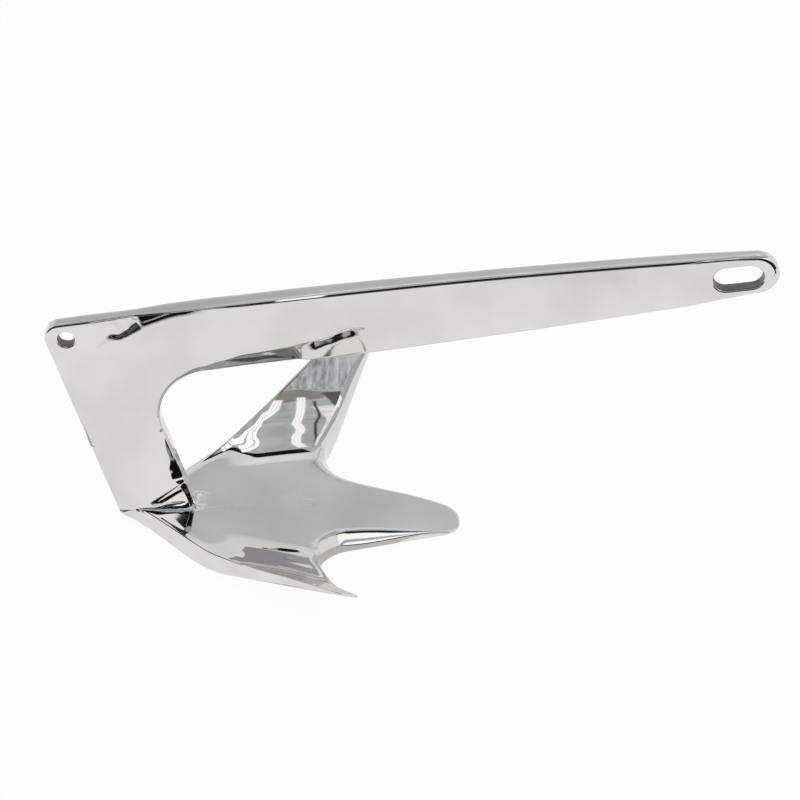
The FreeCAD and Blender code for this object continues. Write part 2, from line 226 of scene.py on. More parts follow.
def eyePiece(fromAngle, toAngle):
    centre = Vector(beam["eyeCentre"])
    spoke = Vector((math.cos(fromAngle), math.sin(fromAngle))) * beam["eyeRadius"]
    return roundArc(centre, centre + spoke, toAngle - fromAngle)


def outerCurve(elbowRadius):
    slope = math.radians(beam["eyeSlope"])
    top = Vector(beam["eyeCentre"]) + Vector((-math.sin(slope), math.cos(slope))) * beam["eyeRadius"]
    pieces = cornerCurve([beam["crown"], beam["elbow"], top], [elbowRadius], [0.0, beam["topBow"]])
    return pieces + [eyePiece(slope + math.pi / 2, slope)]


def innerCurve():
    slope = math.radians(beam["eyeSlope"])
    bottom = Vector(beam["eyeCentre"]) - Vector((-math.sin(slope), math.cos(slope))) * beam["eyeRadius"]
    bows = [0.0, -beam["lowerBow"]]
    pieces = cornerCurve([beam["foot"], beam["throat"], bottom], [beam["throatBend"]], bows)
    return pieces + [eyePiece(slope - math.pi / 2, slope)]


def rimArc(point, inward, radius, half, steps=6):
    # quarter circle from the rim's flat to the side face
    arc = []
    for angle in spread(0.0, math.pi / 2, steps):
        place = point + inward * radius * (1 - math.cos(angle))
        arc.append((place, half - radius * (1 - math.sin(angle))))
    return arc


# the ramp from the beam down to the thin corner: degrees round the bend, then radius of its upper line,
# its width outwards and its drop
web = {
    "bend": 98.0,
    "line": ((86.0, 98.5), (101.0, 96.0), (112.0, 95.3), (121.0, 95.4), (130.0, 96.8), (137.0, 99.5), (148.0, 101.7)),
    "width": ((119.0, 11.5), (121.3, 6.4), (128.6, 3.4), (130.5, 4.0), (134.5, 7.5), (145.0, 8.0), (163.0, 8.0)),
    "drop": (
        (86.0, 0.0), (97.0, 2.0), (119.0, 2.5), (122.0, 2.2), (126.0, 1.85), (131.0, 1.25), (137.0, 0.82),
        (147.0, 0.74), (164.0, 0.0),
    ),
    "taper": 0.012,
    "curl": 1.3,
    # how far before its upper line it starts, how soft that line is, the share of its width that rounds off at
    # its foot, and how far out it still falls, in widths
    "lead": 1.0,
    "soften": 1.2,
    "footRound": 0.2,
    "most": 1.6,
    # where there is no ramp, its line follows the rim at this distance
    "offRim": 2.5,
}


def rampDrop(place, bendCentre):
    # how much lower the side face is on the ramp and on the thin corner beyond it
    spoke = place - bendCentre
    angle = math.degrees(math.atan2(spoke.y, spoke.x)) % 360
    beyond = spoke.length - readMarks(web["line"], angle)
    drop = readMarks(web["drop"], angle)
    if beyond <= -web["lead"] or drop <= 0.0:
        return 0.0
    width = readMarks(web["width"], angle)
    soft = 0.5 * math.sqrt(beyond * beyond + web["soften"]) + 0.5 * beyond
    share = min(soft / width, web["most"])
    straight = 1 - web["footRound"]
    if share >= straight:
        share = straight + web["footRound"] * math.tanh((share - straight) / web["footRound"])
    ramp = share ** web["curl"]
    return drop * ramp + web["taper"] * max(beyond - width, 0.0)


def plateHalf(place, bendCentre):
    return halfWidth(place.x) - rampDrop(place, bendCentre)


# the bevel along the window, by reach under the shank and by height on the arm: its upper line above the edge,
# its width down the side face and its depth
windowEdge = {
    "shankHigh": (
        (37.0, 2.4), (54.0, 3.4), (72.0, 6.4), (88.0, 10.0), (107.0, 13.4), (145.0, 15.6), (158.0, 17.0), (172.0, 19.5),
        (184.0, 22.6), (196.0, 23.5), (230.0, 23.5), (300.0, 3.0),
    ),
    "shankWide": (
        (37.0, 2.4), (54.0, 3.4), (72.0, 6.4), (88.0, 10.0), (107.0, 13.4), (147.0, 15.0), (158.0, 8.5), (170.0, 7.2),
        (191.0, 6.8), (199.0, 5.0), (300.0, 3.0),
    ),
    "shankDeep": (
        (37.0, 0.9), (72.0, 2.6), (107.0, 4.0), (145.0, 3.9), (158.0, 1.7), (170.0, 1.25), (191.0, 1.15), (198.0, 0.0),
    ),
    # how far the depth comes back to nothing below the bevel's tail
    "shankBack": ((0.0, 0.0), (144.0, 0.0), (159.0, 1.0), (300.0, 1.0)),
    "armHigh": ((28.0, 4.0), (38.0, 5.0), (46.0, 10.0), (54.0, 9.0), (64.0, 5.0), (90.0, 4.2), (128.0, 2.4)),
    "armDeep": ((28.0, 1.6), (38.0, 2.0), (46.0, 3.2), (54.0, 3.0), (64.0, 2.0), (90.0, 1.6), (128.0, 0.9)),
    # crispness of its upper corner, then shares of its width in which the tail's groove falls and comes back
    "corner": 0.08,
    "grooveFall": 0.16,
    "grooveBack": 0.86,
    # the most of a section that it takes up, and how far above it the close points start
    "tallest": 0.45,
    "runIn": 1.0,
}


def bevelAt(low, position):
    if position < 1:
        return readMarks(windowEdge["armHigh"], low.y), None, readMarks(windowEdge["armDeep"], low.y), 0.0
    high = readMarks(windowEdge["shankHigh"], low.x)
    wide = readMarks(windowEdge["shankWide"], low.x)
    return high, wide, readMarks(windowEdge["shankDeep"], low.x), readMarks(windowEdge["shankBack"], low.x)


def bevelFall(down, wide, deep, back):
    # depth of the bevel at a distance down from its upper line: a crisp corner, a slope, then flat again,
    # and at its tail a groove that comes back to the side face
    share = max(down, 0.0) / wide
    slope = min(share * share / (share + windowEdge["corner"]) * (1 + windowEdge["corner"]), 1.0)
    groove = ease(share, 0.0, windowEdge["grooveFall"])
    groove *= min(max((1.0 - share) / windowEdge["grooveBack"], 0.0), 1.0)
    return deep * (slope + (groove - slope) * back)


def alongLine(points, distance):
    for start, end in zip(points, points[1:]):
        length = (end - start).length
        if distance <= length or end is points[-1]:
            return start.lerp(end, min(distance / max(length, 1e-6), 1.0))
        distance -= length


# fillet from the arm down to the palm by reach, and the smoothing along its seam: where it is, how sharp an inner
# corner has to be, in radians, how near its vertices lie and how often they are smoothed
root = {
    "fillet": ((12.0, 0.6), (29.0, 1.6), (40.0, 3.0), (60.0, 6.0)),
    "reach": (-12.0, 84.0),
    "half": 34.0,
    "low": 4.0,
    "top": 48.0,
    "corner": -0.45,
    "blend": 3.5,
    "passes": 12,
}


def filletReach(place, side):
    # how far the arm's foot swells out where it runs down into the palm
    above = place.y - topHeight(place.x, side)
    radius = readMarks(root["fillet"], place.x)
    if above >= radius:
        return 0.0
    above = max(above, 0.0)
    return radius - math.sqrt(radius ** 2 - (radius - above) ** 2)


# points down the side face: how far above and below the ramp's line they are close, in mm, and how many lie
# above that, in it, below it and down the bevel
sideGrid = {
    "closeAbove": 13.0,
    "closeLeast": 4.0,
    "closeBelow": 3.0,
    "closeMost": 0.8,  # of the way down to the bevel
    "above": 5,
    "close": 23,
    "below": 9,
    "bevel": 20,
}


def plateSection(position, high, highOut, step, low, lowIn, bendCentre):
    radius = readMarks(beam["rims"], high.x) if position > 1 else beam["armRim"]
    lowRadius = readMarks(beam["lowRims"], low.x)
    tall, wide, deep, back = bevelAt(low, position)
    wide = wide or tall
    tall = max(min(tall, windowEdge["tallest"] * (high - low).length), lowRadius)
    half = plateHalf(high - highOut * radius, bendCentre)
    section = [(high, 0.0, highOut), (high, (half - radius) / 2, highOut)]
    for place, side in rimArc(high, -highOut, radius, half):
        section.append((place, side, highOut * ((half - side) / radius)))
    bevelTop = low + lowIn * (tall + windowEdge["runIn"])
    way = [high - highOut * radius, step, bevelTop]
    toStep = (way[0] - way[1]).length
    total = toStep + (way[1] - way[2]).length
    before = max(toStep - sideGrid["closeAbove"], 0.0)
    after = min(max(toStep, sideGrid["closeLeast"]) + sideGrid["closeBelow"], sideGrid["closeMost"] * total)
    distances = spread(0, before, sideGrid["above"])[1:] if before > 0 else []
    close = sideGrid["close"] if before > 0 else sideGrid["close"] + sideGrid["above"]
    distances += spread(before, after, close)[1:] + spread(after, total, sideGrid["below"])[1:]
    for distance in distances:
        place = alongLine(way, distance)
        section.append((place, plateHalf(place, bendCentre), Vector((0.0, 0.0))))
    foot = low + lowIn * lowRadius
    for share in spread(0, 1, sideGrid["bevel"])[1:]:
        place = bevelTop.lerp(foot, share)
        fall = bevelFall(tall - (place - low).length, wide, deep, back)
        section.append((place, plateHalf(place, bendCentre) - fall, Vector((0.0, 0.0))))
    edge = section[-1][1]
    for place, side in rimArc(low, lowIn, lowRadius, edge)[::-1][1:]:
        section.append((place, side, -lowIn * ((edge - side) / lowRadius)))
    section += [(low, edge / 2, -lowIn), (low, 0.0, -lowIn)]
    points = []
    for place, side, outward in section:
        swell = filletReach(place, side) if position < 1 else 0.0
        lean = math.sqrt(max(1 - outward.length_squared, 0.0))
        place = place + Vector((outward.x, 0.0)) * swell
        points.append(toMetres(place.x, side + lean * swell, max(place.y, 0.0)))
    return points


def makeBeam():
    outline = outerCurve(beam["elbowRound"])
    step = outerCurve(web["bend"])
    inner = innerCurve()
    outlineEnds = breaks(outline)
    stepEnds = breaks(step)
    shankLength = stepEnds[3] - stepEnds[2]
    outlineMarks = [0.0, stepEnds[1], outlineEnds[3] - shankLength, outlineEnds[3], outlineEnds[4]]
    innerMarks = breaks(inner)
    armEnd, armOut = walk(step, stepEnds[1])
    bendCentre = armEnd - armOut * web["bend"]
    rows = []
    for position in stations(beam["rows"]):
        high, highOut = walk(outline, between(outlineMarks, position))
        low, lowIn = walk(inner, between(innerMarks, position))
        onStep = walk(step, between(stepEnds, position))[0] if 1 < position < 2 else high - highOut * web["offRim"]
        rows.append(plateSection(position, high, highOut, onStep, low, lowIn, bendCentre))
    bm = layGrid(rows)
    mirrorHalf(bm)
    return toObject(bm, "beamForm")


# plan of one half of the palm, from the middle of its back edge to the middle of its nose
palm = {
    "corners": ((7.0, 0.0), (7.0, 5.5), (14.6, 5.5), (219.2, 229.5), (149.7, 51.2), (270.3, 15.0), (270.3, 0.0)),
    "rounds": (0.5, 36.0, 13.0, 32.0, 17.0),
    "crestRise": 19.2,
    "crestReach": 107.0,
    "crestRadius": 745.0,
    "splay": 13.0,
    "foldReach": 130.0,
    "topFold": (64.3, 73.5, 0.0, 34.5),
    "underFold": (66.0, 50.0, 4.0, 38.0),
    # soft swelling at the foot of each side claw: its rise, where it starts by reach, and its run off the fold
    "swell": 4.0,
    "swellReach": (70.0, 108.0),
    "swellRun": (50.0, 82.0, 120.0),
    # rounding of the back edge and of the front's lower edge: its radius, and the most of the wall and of the
    # width there that it takes; then the least wall and width that it reckons with at the claw's tip
    "rim": (1.8, 0.35, 0.35),
    "lowRim": (1.0, 0.3, 0.2),
    "leastWall": 0.05,
    "leastWidth": 0.01,
    # lip along the back edge beside the root: its width, rise and where it fades
    "lip": (11.0, 1.4),
    "lipFade": (58.0, 84.0),
    # rows of points from the claw's tip to the nose, where the back's fan starts, and points across the underside
    # and the upper side
    "rows": (10, 74, 46, 50, 14, 4),
    "fan": 0.52,
    "acrossUnder": 18,
    "acrossTop": 40,
}
# bevel along the front of the claws: its width and its drop at side claw and centre claw, then from where to where
# it grows, along the front from the side claw's rounded tip, and fades, along the centre claw from the notch
bevel = {
    "clawWidth": 4.2,
    "noseWidth": 8.0,
    "edge": 0.9,
    "clawDrop": 2.8,
    "noseDrop": 9.2,
    "clawFade": (-15.0, 30.0),
    "noseFade": (5.0, 75.0),
    # how far its upper and its lower corner are cut back, and the most of a face that a cut takes
    "crease": 3.2,
    "edgeCut": 0.7,
    "mostCut": 0.4,
    "mostInner": 0.9,
    # the first point on the upper side, by its share of the way back
    "inner": 0.12,
    # the most of the claw's width and of its thickness that the bevel takes
    "mostWidth": 0.3,
    "mostDrop": 0.85,
}


def foldHeight(distance, start, radius, lead, slope):
    lead = math.radians(lead)
    slope = math.radians(slope)
    if distance < start:
        return (distance - start) * math.tan(lead)
    end = start + radius * (math.sin(slope) - math.sin(lead))
    if distance < end:
        turn = math.asin(math.sin(lead) + (distance - start) / radius)
        return radius * (math.cos(lead) - math.cos(turn))
    return radius * (math.cos(lead) - math.cos(slope)) + (distance - end) * math.tan(slope)


def offFold(x, y):
    splay = math.radians(palm["splay"])
    return abs(y) * math.cos(splay) - (x - palm["foldReach"]) * math.sin(splay)


def topHeight(x, y):
    fall = palm["crestRadius"] - math.sqrt(palm["crestRadius"] ** 2 - (x - palm["crestReach"]) ** 2)
    off = offFold(x, y)
    start, middle, end = palm["swellRun"]
    swell = palm["swell"] * ease(x, *palm["swellReach"]) * (ease(off, start, middle) - ease(off, middle, end))
    return palm["crestRise"] - fall + foldHeight(off, *palm["topFold"]) + swell


def underHeight(x, y):
    return max(foldHeight(offFold(x, y), *palm["underFold"]), 0.0)


def softCorner(before, corner, after, cut, steps=4):
    # the corner of a section, cut back by a share on each side and rounded
    start = corner.lerp(before, cut[0])
    end = corner.lerp(after, cut[1])
    return [start.lerp(corner, part).lerp(corner.lerp(end, part), part) for part in spread(0, 1, steps)]


def palmSection(front, frontOut, width, drop, back, backOut):
    # points (x, y, share of the upper side, lift), once round from the back's lower edge
    thickness = topHeight(back.x, back.y) - underHeight(back.x, back.y)
    across = (front - back).length
    radius, ofWall, ofWidth = palm["rim"]
    rim = min(radius, ofWall * thickness, ofWidth * across + palm["leastWidth"])
    wall = topHeight(front.x, front.y) - drop - underHeight(front.x, front.y)
    radius, ofWall, ofWidth = palm["lowRim"]
    small = min(radius, ofWall * max(wall, palm["leastWall"]), ofWidth * across + palm["leastWidth"])
    quarter = spread(0, math.pi / 2, 4)

    def level(place, share, lift):
        return Vector((place.x, place.y, share, lift))

    lowBack = [level(back - backOut * rim * (1 - math.cos(a)), 0, rim * (1 - math.sin(a))) for a in quarter]
    lowFront = [level(front - frontOut * small * (1 - math.cos(a)), 0, small * (1 - math.sin(a))) for a in quarter]
    highBack = [level(back - backOut * rim * (1 - math.cos(a)), 1, -rim * (1 - math.sin(a))) for a in quarter]
    section = list(lowBack)
    section += [section[-1].lerp(lowFront[-1], part) for part in spread(0, 1, palm["acrossUnder"])[1:-1]]
    section += lowFront[::-1]
    foot = level(front, 1, -drop)
    crease = level(front - frontOut * width, 1, 0)
    inner = level((front - frontOut * width).lerp(highBack[-1].xy, bevel["inner"]), 1, 0)
    reach = (crease.xy - inner.xy).length
    slant = math.hypot(width, drop)
    cutWall = min(bevel["edgeCut"] / max(wall, 0.1), bevel["mostCut"])
    cutBevel = min(bevel["edgeCut"] / slant, bevel["mostCut"])
    cutCrease = min(bevel["crease"] / slant, bevel["mostCut"])
    cutInner = min(bevel["crease"] / max(reach, 0.01), bevel["mostInner"])
    section.append(section[-1].lerp(foot, 0.5))
    section += softCorner(section[-2], foot, crease, (cutWall, cutBevel))
    section.append(foot.lerp(crease, 0.5))
    section += softCorner(foot, crease, inner, (cutCrease, cutInner))
    section += [section[-1].lerp(highBack[-1], part) for part in spread(0, 1, palm["acrossTop"])[1:-1]]
    section += highBack[::-1]
    section.append(section[-1].lerp(lowBack[0], 0.5))
    section.append(lowBack[0])
    points = []
    lipWide, lipRise = palm["lip"]
    lipRise *= 1 - ease(back.x, *palm["lipFade"])
    for x, y, share, lift in section:
        near = max(1 - (Vector((x, y)) - back.xy).length / lipWide, 0.0)
        height = share * (topHeight(x, y) + lipRise * near * near) + (1 - share) * underHeight(x, y) + lift
        points.append(toMetres(x, max(y, 0.0), height))
    return points


def makePalm():
    curve = cornerCurve(palm["corners"], palm["rounds"])
    marks = breaks(curve)
    tip = (marks[5] + marks[6]) / 2
    fanMark = marks[5] - palm["fan"] * (marks[5] - marks[4])
    frontMarks = [tip, marks[6], marks[7], marks[8], marks[9], marks[10], marks[11]]
    backMarks = [tip, marks[5], fanMark, marks[4], marks[3], marks[2], marks[0]]
    rows = []
    for position in stations(palm["rows"]):
        distance = between(frontMarks, position)
        front, frontOut = walk(curve, distance)
        back, backOut = walk(curve, between(backMarks, position))
        clawShare = ease(distance - marks[6], *bevel["clawFade"])
        noseShare = 1 - ease(distance - marks[8], *bevel["noseFade"])
        share = min(clawShare, noseShare)
        notch = min(max((distance - marks[7]) / (marks[8] - marks[7]), 0.0), 1.0)
        fullDrop = bevel["clawDrop"] + (bevel["noseDrop"] - bevel["clawDrop"]) * notch
        fullWidth = bevel["clawWidth"] + (bevel["noseWidth"] - bevel["clawWidth"]) * notch
        width = bevel["edge"] + (fullWidth - bevel["edge"]) * share
        drop = bevel["edge"] + (fullDrop - bevel["edge"]) * share
        width = min(width, bevel["mostWidth"] * (front - back).length + 2 * palm["leastWidth"])
        thickness = topHeight(front.x, front.y) - underHeight(front.x, front.y)
        drop = min(drop, bevel["mostDrop"] * thickness)
        rows.append(palmSection(front, frontOut, width, drop, back, backOut))
    bm = layGrid(rows)
    mirrorHalf(bm)
    return toObject(bm, "palmForm")


# block that cuts the heel's curve under the crown: the curve's ends and radius, and how far the block reaches
# to each side, behind and below
heel = {"front": (30.0, 0.0), "back": (-6.0, 16.5), "radius": 52.0, "half": 60.0, "behind": -60.0, "below": -20.0}


def makeHeelBlock():
    front = Vector(heel["front"])
    back = Vector(heel["back"])
    chord = back - front
    rise = heel["radius"] - math.sqrt(heel["radius"] ** 2 - (chord.length / 2) ** 2)
    _, arc = bowedLine(front, back, rise)
    outline = [arc(share)[0] for share in spread(0, 1, 20)]
    behind, below = heel["behind"], heel["below"]
    outline += [Vector((behind, back.y)), Vector((behind, below)), Vector((front.x, below))]
    bm = bmesh.new()
    verts = [bm.verts.new(toMetres(place.x, -heel["half"], place.y)) for place in outline]
    face = bm.faces.new(verts)
    moved = bmesh.ops.extrude_face_region(bm, geom=[face])["geom"]
    across = Vector((0, 2 * heel["half"] * mm, 0))
    bmesh.ops.translate(bm, vec=across, verts=[part for part in moved if isinstance(part, bmesh.types.BMVert)])
    bmesh.ops.recalc_face_normals(bm, faces=bm.faces)
    return toObject(bm, "heelBlock")


# the two holes: place of the middle, width and length, slope, flare of the mouths and half the thickness there
tripHole = {"reach": -33.1, "rise": 172.9, "width": 13.0, "length": 13.0, "slope": 0.0, "flare": 1.0, "half": 4.9}
slotHole = {"reach": 477.4, "rise": 235.1, "width": 20.0, "length": 38.0, "slope": 8.0, "flare": 1.4, "half": 5.6}
# their cores: how far they stand out, divisions round, half width of the strip that a slot's core is pulled
# apart at, and how far off the wall a face still belongs to it
core = {"beyond": 8.0, "steps": 96, "strip": 0.02, "margin": 0.25}


def makeCore(name, hole):
    # a round core with flared mouths, pulled long for the slot
    radius = hole["width"] / 2
    flare = hole["flare"]
    end = hole["half"] + core["beyond"]
    profile = [(radius, 0.0)]
    for angle in spread(0, math.pi / 2, 5):
        profile.append((radius + flare * (1 - math.cos(angle)), hole["half"] - flare * (1 - math.sin(angle))))
    profile += [(radius + flare, end), (0.0, end)]
    bm = bmesh.new()
    verts = [bm.verts.new((reach * mm, side * mm, 0)) for reach, side in profile]
    edges = [bm.edges.new(pair) for pair in zip(verts, verts[1:])]
    bmesh.ops.spin(
        bm, geom=verts + edges, cent=(0, 0, 0), axis=(0, 1, 0), angle=2 * math.pi, steps=core["steps"], use_merge=True
    )
    mirrorHalf(bm)
    stretch = (hole["length"] - hole["width"]) / 2
    for vert in bm.verts:
        vert.co.x += stretch * mm * max(-1, min(1, vert.co.x / (core["strip"] * mm)))
    turn = Matrix.Rotation(-math.radians(hole["slope"]), 3, "Y")
    bmesh.ops.rotate(bm, verts=bm.verts, cent=(0, 0, 0), matrix=turn)
    bmesh.ops.translate(bm, verts=bm.verts, vec=toMetres(hole["reach"], 0, hole["rise"]))
    return toObject(bm, name)


def blendRoot(piece):
    # the arm's foot runs into the palm with a hand-ground hollow
    bm = bmesh.new()
    bm.from_mesh(piece.data)
    low = toMetres(root["reach"][0], -root["half"], root["low"])
    high = toMetres(root["reach"][1], root["half"], root["top"])

    def inside(place):
        return all(low[axis] < place[axis] < high[axis] for axis in range(3))

    seam = []
    for edge in bm.edges:
        if len(edge.link_faces) == 2 and edge.calc_face_angle_signed() < root["corner"]:
            middle = (edge.verts[0].co + edge.verts[1].co) / 2
            if inside(middle):
                seam.append(middle)
    blend = root["blend"] * mm
    chosen = []
    for vert in bm.verts:
        if inside(vert.co) and any((vert.co - middle).length < blend for middle in seam):
            chosen.append(vert)
    for _ in range(root["passes"]):
        bmesh.ops.smooth_vert(bm, verts=chosen, factor=0.5, use_axis_x=True, use_axis_y=True, use_axis_z=True)
    print("   root seam", len(seam), "blended vertices", len(chosen))
    bm.to_mesh(piece.data)
    bm.free()


def finishMesh(piece):
    bm = bmesh.new()
    bm.from_mesh(piece.data)
    bmesh.ops.remove_doubles(bm, verts=bm.verts, dist=joins["finish"])
    bmesh.ops.dissolve_degenerate(bm, edges=bm.edges, dist=joins["finish"])
    for face in bm.faces:
        face.smooth = True
    sharp = math.radians(joins["sharp"])
    for edge in bm.edges:
        edge.smooth = not (len(edge.link_faces) == 2 and edge.calc_face_angle(0) > sharp)
    bm.to_mesh(piece.data)
    bm.free()


def makeAnchor():
    anchor = makeBeam()
    print("beam", len(anchor.data.polygons), "faces")
    palmForm = makePalm()
    print("palm", len(palmForm.data.polygons), "faces")
    combine(anchor, palmForm, "UNION")
    blendRoot(anchor)
    combine(anchor, makeHeelBlock(), "DIFFERENCE")
    combine(anchor, makeCore("tripCore", tripHole), "DIFFERENCE")
    combine(anchor, makeCore("slotCore", slotHole), "DIFFERENCE")
    finishMesh(anchor)
    anchor.name = "polished_casting"
    anchor.data.name = "polished_casting"
    return anchor


def nearCore(place, hole):
    # is a point on the wall of a hole, inside its flared mouths
    centre = toMetres(hole["reach"], 0, hole["rise"])
    away = Matrix.Rotation(math.radians(hole["slope"]), 3, "Y") @ (place - centre)
    radius = hole["width"] / 2 * mm
    along = max(abs(away.x) - (hole["length"] / 2 * mm - radius), 0.0)
    return math.hypot(along, away.z) < radius + core["margin"] * mm


def dressAnchor(anchor):
    anchor.data.materials.clear()
    anchor.data.materials.append(polishedSteel())
    anchor.data.materials.append(castSteelWithHoleShade())
    rough = 0
    for face in anchor.data.polygons:
        # faces on the hole walls get the dark cast steel, whose colour is painted shade inside the holes
        inHole = nearCore(face.center, tripHole) or nearCore(face.center, slotHole)
        face.material_index = 1 if inHole else 0
        rough += inHole
    print("hole wall faces", rough)


def linear(code):
    channels = [int(code[place:place + 2], 16) / 255 for place in (1, 3, 5)]
    return [c / 12.92 if c <= 0.04045 else ((c + 0.055) / 1.055) ** 2.4 for c in channels] + [1.0]


def addNode(tree, kind, settings=None, links=None):
    node = tree.nodes.new(kind)
    for name, value in (settings or {}).items():
        if isinstance(name, int) or name in node.inputs:
            node.inputs[name].default_value = value
        else:
            setattr(node, name, value)
    for name, source in (links or {}).items():
        tree.links.new(source, node.inputs[name])
    return node


def newTree(name):
    material = bpy.data.materials.new(name)
    material.use_nodes = True
    material.node_tree.nodes.clear()
    return material, material.node_tree


# the part of its range that a noise node mostly fills
noiseRange = (0.35, 0.65)
# colours, roughness, and the waves, haze, patches and grain with their lengths and heights in mm
steel = {
    "low": "#D2D0CC",
    "high": "#DEDCDA",
    "roughness": 0.035,
    "waveLength": 70.0,
    "waveHeight": 0.05,
    "waveStrength": 0.25,
    "hazeLength": 71.43,
    # dark colours of the hole walls: painted shade inside the holes, over the dull as-cast finish
    "castShadeLow": "#4A4646",
    "castShadeHigh": "#8A8381",
    "castRoughness": 0.42,
    "castGrain": 0.8,
    "castDepth": 0.08,
    "castStrength": 0.4,
    "castPatch": 5.556,
}


def polishedSteel():
    # cast 316 stainless, ground and buffed by hand: a mirror with slow waves left by the wheel
    material, tree = newTree("mirrorPolished316Stainless")
    place = addNode(tree, "ShaderNodeTexCoord").outputs["Object"]
    wave = addNode(tree, "ShaderNodeTexNoise", {"Scale": 1000 / steel["waveLength"], "Detail": 1.0}, {"Vector": place})
    bump = addNode(
        tree,
        "ShaderNodeBump",
        {"Strength": steel["waveStrength"], "Distance": steel["waveHeight"] * mm},
        {"Height": wave.outputs["Fac"]},
    )
    haze = addNode(tree, "ShaderNodeTexNoise", {"Scale": 1000 / steel["hazeLength"], "Detail": 3.0}, {"Vector": place})
    least, most = noiseRange
    share = addNode(tree, "ShaderNodeMapRange", {"From Min": least, "From Max": most}, {"Value": haze.outputs["Fac"]})
    tint = addNode(
        tree,
        "ShaderNodeMix",
        {"data_type": "RGBA", 6: linear(steel["low"]), 7: linear(steel["high"])},
        {0: share.outputs["Result"]},
    )
    shader = addNode(
        tree,
        "ShaderNodeBsdfPrincipled",
        {"Metallic": 1.0, "Roughness": steel["roughness"]},
        {"Base Color": tint.outputs[2], "Normal": bump.outputs["Normal"]},
    )
    addNode(tree, "ShaderNodeOutputMaterial", links={"Surface": shader.outputs["BSDF"]})
    return material


def castSteelWithHoleShade():
    # the same steel as it left the mould on the hole walls that no wheel reaches, dull and slightly grainy; their dark
    # colour is painted shade inside the holes
    material, tree = newTree("asCast316StainlessHoleShade")
    place = addNode(tree, "ShaderNodeTexCoord").outputs["Object"]
    grain = addNode(
        tree, "ShaderNodeTexNoise", {"Scale": 1000 / steel["castGrain"], "Detail": 2.0}, {"Vector": place}
    )
    patch = addNode(tree, "ShaderNodeTexNoise", {"Scale": 1000 / steel["castPatch"], "Detail": 2.0}, {"Vector": place})
    tint = addNode(
        tree,
        "ShaderNodeMix",
        {"data_type": "RGBA", 6: linear(steel["castShadeLow"]), 7: linear(steel["castShadeHigh"])},
        {0: patch.outputs["Fac"]},
    )
    bump = addNode(
        tree,
        "ShaderNodeBump",
        {"Strength": steel["castStrength"], "Distance": steel["castDepth"] * mm},
        {"Height": grain.outputs["Fac"]},
    )
    shader = addNode(
        tree,
        "ShaderNodeBsdfPrincipled",
        {"Metallic": 1.0, "Roughness": steel["castRoughness"]},
        {"Base Color": tint.outputs[2], "Normal": bump.outputs["Normal"]},
    )
    addNode(tree, "ShaderNodeOutputMaterial", links={"Surface": shader.outputs["BSDF"]})
    return material


studio = {
    # floor: size in metres, colour, and how white it shows; then the world's light on the anchor
    "floorSize": 16.0,
    "floor": "#F4F4F2",
    "floorGlow": 0.94,
    "worldLight": 0.7,
    # soft lamp overhead: watts, size in metres, place and turn
    "lampPower": 22.0,
    "lampSize": 2.4,
    "lampPlace": (-0.6, -0.5, 2.6),
    "lampTurn": (-0.15, -0.2, 0),
    # the photograph's camera: place in mm, line of sight, lens and sensor in mm, far clip in metres
    "cameraPlace": (34.7, -1956.4, 1462.2),
    "cameraLook": (-0.0173, 0.8239, -0.5664),
    "lens": 137.7,
    "sensor": 36.0,
    "farClip": 50.0,
}


def seenWhite(tree):
    # 1 where the camera, a reflection or a clear material looks, 0 for the light that falls on the anchor
    path = addNode(tree, "ShaderNodeLightPath")
    pair = addNode(
        tree,
        "ShaderNodeMath",
        {"operation": "ADD"},
        {0: path.outputs["Is Camera Ray"], 1: path.outputs["Is Glossy Ray"]},
    )
    seen = addNode(
        tree,
        "ShaderNodeMath",
        {"operation": "ADD", "use_clamp": True},
        {0: pair.outputs[0], 1: path.outputs["Is Transmission Ray"]},
    )
    return seen.outputs[0]


def makeWorld():
    world = bpy.data.worlds.new("paleStudio")
    bpy.context.scene.world = world
    world.use_nodes = True
    tree = world.node_tree
    tree.nodes.clear()
    strength = addNode(
        tree,
        "ShaderNodeMapRange",
        {"To Min": studio["worldLight"], "To Max": 1.0},
        {"Value": seenWhite(tree)},
    )
    sky = addNode(tree, "ShaderNodeBackground", {"Color": (1, 1, 1, 1)}, {"Strength": strength.outputs["Result"]})
    addNode(tree, "ShaderNodeOutputWorld", links={"Surface": sky.outputs["Background"]})


def floorPaint():
    material, tree = newTree("paleStudioFloor")
    paint = addNode(tree, "ShaderNodeBsdfDiffuse", {"Color": linear(studio["floor"])})
    glow = addNode(tree, "ShaderNodeEmission", {"Color": (1, 1, 1, 1), "Strength": 1.0})
    seen = addNode(tree, "ShaderNodeMath", {"operation": "MULTIPLY", 1: studio["floorGlow"]}, {0: seenWhite(tree)})
    mix = addNode(tree, "ShaderNodeMixShader", links={0: seen.outputs[0], 1: paint.outputs[0], 2: glow.outputs[0]})
    addNode(tree, "ShaderNodeOutputMaterial", links={"Surface": mix.outputs[0]})
    return material


# all cards are seen by the polished metal alone; upright ones: x from and to, y, z from and to, and colour
cards = {
    "backWall": ((-3.0, 3.0, 1.9, 0.0, 2.52), "#F6F8F8"),
    "backGap": ((-1.05, 0.20, 2.0, 2.1, 3.6), "#14171C"),
    "backHighLeft": ((-3.5, -1.05, 2.0, 2.1, 3.6), "#C9CDCD"),
    "backHigh": ((0.20, 3.5, 2.0, 2.1, 3.6), "#C9CDCD"),
    "darkRoom": ((-2.5, 0.24, -0.58, 0.0, 1.0), "#17171A"),
    "sideRoom": ((0.25, 1.45, -0.59, 0.0, 0.50), "#2A2D38"),
}
# level of the wall behind: its darkest height and how far from it the wall gets lighter, its lowest and highest
# level, and what a slow drift and a tilt from left to right add or take off
wallGlow = {
    "darkest": 1.36,
    "fade": (0.02, 0.50),
    "level": (0.64, 0.90),
    "driftScale": 2.2,
    "driftRange": (0.3, 0.7),
    "drift": 0.05,
    "tiltReach": (-1.1, 0.1),
    "tilt": 0.07,
}
